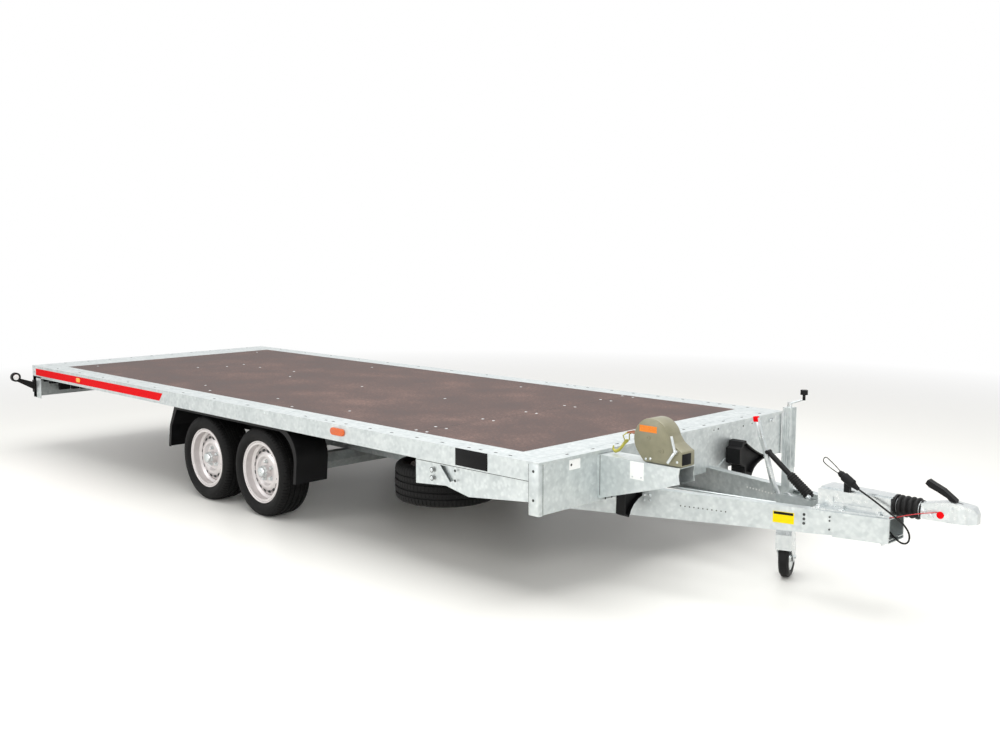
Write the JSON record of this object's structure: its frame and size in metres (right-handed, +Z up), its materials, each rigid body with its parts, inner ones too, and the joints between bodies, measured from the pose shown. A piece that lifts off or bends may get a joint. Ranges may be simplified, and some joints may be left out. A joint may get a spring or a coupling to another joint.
{
  "type": "car hauler trailer",
  "caption": "Flat-deck twin-axle car hauler trailer with galvanised frame, V drawbar, overrun coupling, jockey wheel, hand winch and wheel chocks.",
  "frame": {"origin": "on the ground, midway between the platform's rear and the coupling's nose, on the middle plane", "axes": "+X forward to the coupling, +Y to the trailer's left, +Z up"},
  "size_m": [6.71, 2.3898, 0.919],
  "materials": {
    "plywood": "film-faced brown plywood, fine wire-mesh grip",
    "galvanised_steel": "hot-dip galvanised, satin with faint spangle",
    "rim_steel": "silver wheel paint, satin",
    "tyre_rubber": "road tyre rubber",
    "black_plastic": "moulded black, matte",
    "zinc_casting": "bright zinc-plated, slightly blue",
    "zinc_steel": "bright zinc-plated steel",
    "black_rubber": "black rubber, matte",
    "red_plastic": "red plastic sheathing",
    "amber_lens": "amber lens",
    "white_lens": "clear and red lens on a black body",
    "winch_paint": "olive grey-green paint, satin",
    "strap_webbing": "woven strap, orange",
    "hook_steel": "yellow-green hook, worn"
  },
  "bodies": {
    "chassis": {"arm_lamps": "white_lens", "axle_front": "galvanised_steel", "axle_rear": "galvanised_steel", "beam_brackets": "galvanised_steel", "brake_rod": "galvanised_steel", "breakaway_cable": "red_plastic", "cable_plug": "black_plastic", "chock_holder": "galvanised_steel", "corner_posts": "galvanised_steel", "coupling_handle": "black_plastic", "coupling_head": "zinc_casting", "coupling_tube": "zinc_steel", "crank_knob": "black_plastic", "cross_members": "galvanised_steel", "deck_panel_front": "plywood", "deck_panel_rear": "plywood", "drawbar_beam_left": "galvanised_steel", "drawbar_beam_right": "galvanised_steel", "drawbar_head": "galvanised_steel", "front_rail": "galvanised_steel", "handbrake_bracket": "galvanised_steel", "handbrake_lever": "zinc_steel", "handbrake_strut": "black_rubber", "jockey_clamp": "galvanised_steel", "jockey_crank": "zinc_steel", "jockey_tube": "zinc_steel", "lamp_arms": "black_rubber", "lighting_cable": "black_rubber", "mudguards": "black_plastic", "overrun_bellows": "black_rubber", "overrun_housing": "zinc_casting", "plug_loop": "black_rubber", "rear_lamps": "black_plastic", "rear_rail": "galvanised_steel", "side_markers": "amber_lens", "side_rail_left": "galvanised_steel", "side_rail_right": "galvanised_steel", "side_skirts": "galvanised_steel", "spare_carrier": "galvanised_steel", "spare_rim": "rim_steel", "spare_tyre": "tyre_rubber", "strap_hook": "hook_steel", "wheel_chocks": "black_plastic", "winch_cover": "winch_paint", "winch_lever": "zinc_steel", "winch_stand": "galvanised_steel", "winch_strap": "strap_webbing"},
    "wheel_front_left": {"rim_front_left": "rim_steel", "tyre_front_left": "tyre_rubber"},
    "wheel_front_right": {"rim_front_right": "rim_steel", "tyre_front_right": "tyre_rubber"},
    "wheel_rear_left": {"rim_rear_left": "rim_steel", "tyre_rear_left": "tyre_rubber"},
    "wheel_rear_right": {"rim_rear_right": "rim_steel", "tyre_rear_right": "tyre_rubber"},
    "jockey_leg": {"jockey_leg": "zinc_steel"},
    "jockey_fork": {"jockey_fork": "zinc_steel"},
    "jockey_wheel": {"jockey_wheel": "black_rubber"}
  },
  "joints": [
    {"name": "spin_front_left", "type": "hinge", "parent": "chassis", "child": "wheel_front_left", "pos_m": [-0.39, 0.879, 0.2625], "axis": [0, 1, 0], "continuous": true},
    {"name": "spin_front_right", "type": "hinge", "parent": "chassis", "child": "wheel_front_right", "pos_m": [-0.39, -0.879, 0.2625], "axis": [0, 1, 0], "continuous": true},
    {"name": "spin_rear_left", "type": "hinge", "parent": "chassis", "child": "wheel_rear_left", "pos_m": [-0.983, 0.879, 0.2625], "axis": [0, 1, 0], "continuous": true},
    {"name": "spin_rear_right", "type": "hinge", "parent": "chassis", "child": "wheel_rear_right", "pos_m": [-0.983, -0.879, 0.2625], "axis": [0, 1, 0], "continuous": true},
    {"name": "jockey_wind", "type": "slide", "parent": "chassis", "child": "jockey_leg", "axis": [0, 0, 1], "range_m": [-0.2, 0.04]},
    {"name": "jockey_swivel", "type": "hinge", "parent": "jockey_leg", "child": "jockey_fork", "pos_m": [2.412, 0.12, 0.25], "axis": [0, 0, 1], "continuous": true},
    {"name": "jockey_spin", "type": "hinge", "parent": "jockey_fork", "child": "jockey_wheel", "pos_m": [2.39572, 0.16728, 0.1], "axis": [0.9455, 0.3256, 0], "continuous": true}
  ]
}
